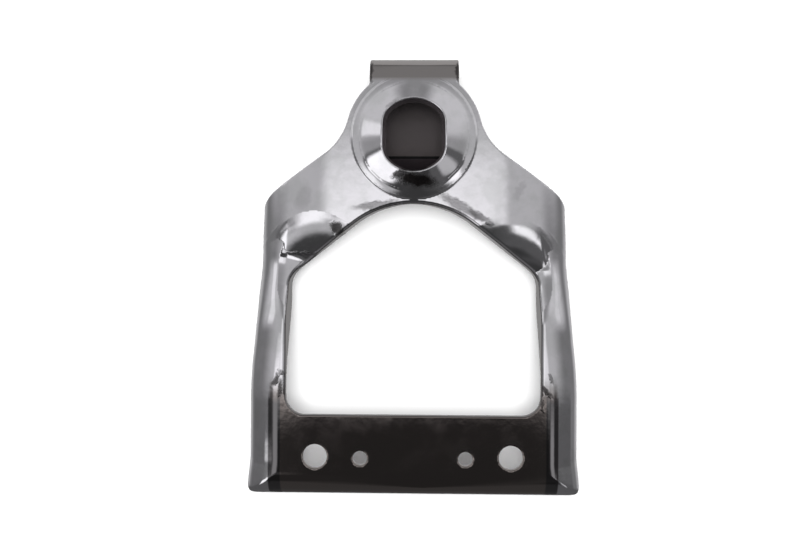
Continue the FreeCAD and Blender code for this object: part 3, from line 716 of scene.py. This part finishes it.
def make_lights():
    """A wide soft lamp in front of the bracket and a little above it, and a weak even world."""
    world = bpy.data.worlds.new("studio_light")
    bpy.context.scene.world = world
    world.use_nodes = True
    background = world.node_tree.nodes["Background"]
    background.inputs["Color"].default_value = WORLD_COLOUR
    background.inputs["Strength"].default_value = WORLD_STRENGTH
    data = bpy.data.lights.new("lamp", "AREA")
    data.size = LAMP_SIZE
    data.energy = LAMP_ENERGY
    lamp = add_object("lamp", data)
    place = Vector(LAMP_PLACE)
    lamp.matrix_world = Matrix.Translation(place) @ (-place).to_track_quat("-Z", "Y").to_matrix().to_4x4()
    lamp.visible_glossy = False
    lamp.visible_camera = False


# Colours of the chrome. Those of the plate, ridges, tab, lip and leg stand in for dark reflections
# that one studio couldn't give there and spare elsewhere.
CHROME_COLOUR = (0.80, 0.785, 0.825, 1)
SMUDGE_COLOUR = (0.73, 0.725, 0.75, 1)
PLATE_COLOUR = (0.30, 0.265, 0.255, 1)
TAB_COLOUR = (0.52, 0.49, 0.485, 1)
RIDGE_COLOUR = (0.15, 0.145, 0.15, 1)
# Painted shade and dark reflections, the colour of the dark marks below
PAINTED_DARK_COLOUR = (0.05, 0.045, 0.045, 1)
LIP_COLOUR = (0.2, 0.185, 0.185, 1)
LEG_COLOUR = (0.10, 0.085, 0.085, 1)
FOOT_COLOUR = (0.055, 0.045, 0.05, 1)
LINE_COLOUR = (0.01, 0.01, 0.01, 1)

# Where each part is, in millimetres: full at the first number and gone at the second
PLATE_UP = (20.0, 29.0)
PLATE_ACROSS = (51.2, 52.4)
PLATE_BACK = (1.5, 4.0)
RIDGE_UP = (19.0, 24.0)
RIDGE_OUTER = (52.0, 52.6)
RIDGE_INNER = (48.2, 47.6)
TAB_UP = (137.0, 135.0)
LEG_NEAR = (11.5, 9.5)
LEG_FAR = (12.5, 13.2)
LEG_ACROSS = (14.0, 15.5)
LEG_UP = (131.0, 133.0)
LINE_HEIGHT = 109.4
LINE_BLEND = 0.5
LINE_AWAY = (0.3, 0.6)
ABOVE_LINE = (LINE_HEIGHT + LINE_BLEND, LINE_HEIGHT)
MARK_BACK = (7.0, 9.0)

# Edge of a mark, in shares of its half sizes, and how far noise moves it, in millimetres
MARK_REACH = (0.55, 1.25)
MARK_RAGGED = 1.3

# How much of that noise the edges of the plate and of the ridges have
PLATE_RAGGED = 0.25
RIDGE_RAGGED = 1.5

# Noise: scale and detail, and roughness where it isn't plain
RAGGED_ACROSS_NOISE = (0.55, 3)
RAGGED_UP_NOISE = (0.42, 3)
SMUDGE_NOISE = (0.09, 4, 0.6)
FINE_NOISE = (1.4, 4, 0.6)
WAVE_NOISE = (0.075, 2)
RIPPLE_NOISE = (0.35, 2)

# Values of the smudge noise: tinted or clear at the first number, and not so at the second
SMUDGE_TINTED = (0.62, 0.42)
SMUDGE_CLEAR = (0.45, 0.62)

# Roughness of smudged chrome, and what is added to it elsewhere
ROUGHNESS = 0.11
CLEAR_ROUGHNESS = -0.04
MARK_ROUGHNESS = 0.25
PLATE_ROUGHNESS = -0.035
LEG_ROUGHNESS = 0.4

# Heights of the waves in the chrome in millimetres, and what the plate adds to them
WAVE_HEIGHT = 0.07
PLATE_WAVE_HEIGHT = -0.06
RIPPLE_HEIGHT = 0.012
MARK_HEIGHT = 0.12

# Painted dark marks, most of them shade and dark reflections: place across, height, half length, half
# width, turn in degrees, strength
PAINTED_DARK_MARKS = [
    (1.0, 99.6, 7.5, 2.6, -8, 1.0),  # painted dark reflection under the lamp hole
    (-5.0, 102.0, 3.5, 1.2, 25, 0.8),
    (-13.5, 90.5, 8.5, 1.7, 8, 0.5),  # painted dark reflections above the window
    (17.0, 90.0, 9.5, 2.0, -30, 0.5),
    (24.0, 86.5, 5.0, 1.3, -28, 0.5),
    (-27.8, 82.2, 3.0, 2.2, -40, 0.9),  # painted dark reflections at the left scoop
    (-41.0, 73.2, 6.5, 0.7, 0, 0.6),
    (-49.5, 27.5, 3.0, 1.0, 60, 0.85),  # painted shade in the creases at the foot of the left arm
    (-48.0, 24.5, 1.0, 3.6, -8, 0.8),
    (-46.6, 29.5, 2.4, 0.7, -40, 0.7),
    (47.4, 24.5, 4.0, 0.9, -48, 0.85),  # painted shade in the creases at the foot of the right arm
    (46.0, 20.5, 0.9, 3.4, 12, 0.8),
    (49.6, 28.5, 2.0, 0.7, -70, 0.6),
    (-15.8, 138.6, 1.1, 4.2, 0, 0.85),  # painted shade at the ends of the tab's bend
    (15.8, 138.6, 1.1, 4.2, 0, 0.85),
    (-8.0, 126.5, 2.6, 0.8, 35, 0.3),  # faint dark patches on the dome and shoulders
    (38.0, 96.0, 4.0, 1.6, 60, 0.15),
    (-40.0, 93.0, 3.0, 5.0, -20, 0.14),
]


class Painter:
    """Makes a material's nodes. Values are sockets, numbers or colours. Places are in millimetres."""

    def __init__(self, material):
        self.nodes = material.node_tree.nodes
        self.links = material.node_tree.links
        scaled = self.nodes.new("ShaderNodeVectorMath")
        scaled.operation = "SCALE"
        scaled.inputs["Scale"].default_value = 1 / MM
        self.feed(scaled.inputs[0], self.nodes.new("ShaderNodeTexCoord").outputs["Object"])
        self.place = scaled.outputs[0]
        parts = self.nodes.new("ShaderNodeSeparateXYZ")
        self.feed(parts.inputs[0], self.place)
        self.across, self.back, self.up = parts.outputs

    def feed(self, socket, value):
        if isinstance(value, (int, float, tuple)):
            socket.default_value = value
        else:
            self.links.new(value, socket)

    def maths(self, kind, *values):
        node = self.nodes.new("ShaderNodeMath")
        node.operation = kind
        for socket, value in zip(node.inputs, values):
            self.feed(socket, value)
        return node.outputs[0]

    def times(self, first, *others):
        for other in others:
            first = self.maths("MULTIPLY", first, other)
        return first

    def times_plus(self, first, second, third):
        """The first times the second, plus the third."""
        return self.maths("MULTIPLY_ADD", first, second, third)

    def size(self, value):
        return self.maths("ABSOLUTE", value)

    def noise(self, scale, detail, roughness=0.5):
        node = self.nodes.new("ShaderNodeTexNoise")
        node.inputs["Scale"].default_value = scale
        node.inputs["Detail"].default_value = detail
        node.inputs["Roughness"].default_value = roughness
        self.feed(node.inputs["Vector"], self.place)
        return node.outputs["Fac"]

    def fade(self, value, full, gone):
        """1 up to where it is full, falling smoothly to 0 where it is gone, in either direction."""
        node = self.nodes.new("ShaderNodeMapRange")
        node.interpolation_type = "SMOOTHSTEP"
        node.inputs["From Min"].default_value = min(full, gone)
        node.inputs["From Max"].default_value = max(full, gone)
        node.inputs["To Min"].default_value = 1 if full < gone else 0
        node.inputs["To Max"].default_value = 0 if full < gone else 1
        self.feed(node.inputs["Value"], value)
        return node.outputs["Result"]

    def blend(self, weight, first, second):
        """The first colour at weight 0 and the second at 1."""
        node = self.nodes.new("ShaderNodeMix")
        node.data_type = "RGBA"
        self.feed(node.inputs[0], weight)
        self.feed(node.inputs[6], first)
        self.feed(node.inputs[7], second)
        return node.outputs[2]


def unpainted_share(paint, ragged_across, ragged_up):
    """1 on chrome without painted dark marks and on all that is far back, down to 0 in the strongest marks.
    """
    across = paint.maths("ADD", paint.across, ragged_across)
    up = paint.maths("ADD", paint.up, ragged_up)
    unpainted = 1.0
    for mark_across, mark_up, half_long, half_wide, turn, strength in PAINTED_DARK_MARKS:
        cosine = math.cos(math.radians(turn))
        sine = math.sin(math.radians(turn))
        dx = paint.maths("SUBTRACT", across, mark_across)
        dz = paint.maths("SUBTRACT", up, mark_up)
        along = paint.times_plus(dx, cosine / half_long, paint.times(dz, sine / half_long))
        aside = paint.times_plus(dz, cosine / half_wide, paint.times(dx, -sine / half_wide))
        reach = paint.maths("SQRT", paint.times_plus(along, along, paint.times(aside, aside)))
        unpainted = paint.times(unpainted, paint.times_plus(paint.fade(reach, *MARK_REACH), -strength, 1.0))
    behind = paint.maths("SUBTRACT", 1.0, paint.fade(paint.back, *MARK_BACK))
    return paint.maths("MAXIMUM", unpainted, behind)


def plate_share(paint, ragged):
    """1 on the flat of the plate, front and rear."""
    return paint.times(paint.fade(paint.times_plus(ragged, PLATE_RAGGED, paint.up), *PLATE_UP),
                       paint.fade(paint.size(paint.across), *PLATE_ACROSS),
                       paint.fade(paint.back, *PLATE_BACK))


def ridge_share(paint, ragged):
    """1 on the two ridges beside the plate, at any depth."""
    return paint.times(paint.fade(paint.size(paint.across), *RIDGE_OUTER),
                       paint.fade(paint.size(paint.across), *RIDGE_INNER),
                       paint.fade(paint.times_plus(ragged, RIDGE_RAGGED, paint.up), *RIDGE_UP))


def leg_share(paint):
    """1 round the front face of the leg, and on what else is at its depth down to the lower flange."""
    return paint.times(paint.fade(paint.back, *LEG_NEAR),
                       paint.fade(paint.size(paint.across), *LEG_ACROSS),
                       paint.fade(paint.up, *LEG_UP),
                       paint.fade(paint.back, *LEG_FAR))


def leg_colour(paint):
    """Dark, with a line across it and darker below."""
    from_line = paint.size(paint.maths("SUBTRACT", paint.up, LINE_HEIGHT))
    plain = paint.blend(paint.fade(paint.up, *ABOVE_LINE), FOOT_COLOUR, LEG_COLOUR)
    return paint.blend(paint.fade(from_line, *LINE_AWAY), plain, LINE_COLOUR)


def chrome():
    """Smudged chrome with painted shade and dark reflections: marks, plate, ridges, tab, cut wall, leg."""
    material = bpy.data.materials.new("chrome_plate")
    material.use_nodes = True
    paint = Painter(material)
    shader = paint.nodes["Principled BSDF"]
    ragged = paint.times_plus(paint.noise(*RAGGED_ACROSS_NOISE), 2 * MARK_RAGGED, -MARK_RAGGED)
    ragged_up = paint.times_plus(paint.noise(*RAGGED_UP_NOISE), -2 * MARK_RAGGED, MARK_RAGGED)
    unpainted = unpainted_share(paint, ragged, ragged_up)
    painted_dark = paint.maths("SUBTRACT", 1.0, unpainted)
    plate = plate_share(paint, ragged)
    leg = leg_share(paint)
    smudge = paint.noise(*SMUDGE_NOISE)

    lip = paint.nodes.new("ShaderNodeAttribute")
    lip.attribute_name = "lip_wall"
    colour = paint.blend(paint.fade(smudge, *SMUDGE_TINTED), CHROME_COLOUR, SMUDGE_COLOUR)
    colour = paint.blend(plate, colour, PLATE_COLOUR)
    colour = paint.blend(paint.fade(paint.up, *TAB_UP), colour, TAB_COLOUR)
    colour = paint.blend(ridge_share(paint, ragged), colour, RIDGE_COLOUR)
    colour = paint.blend(unpainted, PAINTED_DARK_COLOUR, colour)
    colour = paint.blend(lip.outputs["Fac"], colour, LIP_COLOUR)
    colour = paint.blend(leg, colour, leg_colour(paint))
    paint.feed(shader.inputs["Base Color"], colour)
    shader.inputs["Metallic"].default_value = 1.0

    rough = paint.times_plus(paint.fade(smudge, *SMUDGE_CLEAR), CLEAR_ROUGHNESS, ROUGHNESS)
    rough = paint.times_plus(painted_dark, MARK_ROUGHNESS, rough)
    rough = paint.times_plus(plate, PLATE_ROUGHNESS, rough)
    rough = paint.times_plus(leg, LEG_ROUGHNESS, rough)
    paint.feed(shader.inputs["Roughness"], rough)

    wave_height = paint.times_plus(plate, PLATE_WAVE_HEIGHT, WAVE_HEIGHT)
    waves = paint.times(paint.noise(*WAVE_NOISE), wave_height)
    waves = paint.times_plus(paint.noise(*RIPPLE_NOISE), RIPPLE_HEIGHT, waves)
    waves = paint.times_plus(painted_dark, paint.times(paint.noise(*FINE_NOISE), MARK_HEIGHT), waves)
    bump = paint.nodes.new("ShaderNodeBump")
    bump.inputs["Strength"].default_value = 1.0
    bump.inputs["Distance"].default_value = MM
    paint.feed(bump.inputs["Height"], waves)
    paint.feed(shader.inputs["Normal"], bump.outputs[0])
    return material


bpy.context.scene.view_settings.view_transform = "Standard"
make_camera()
make_studio()
make_backdrop()
make_lights()
make_sheet().data.materials.append(chrome())
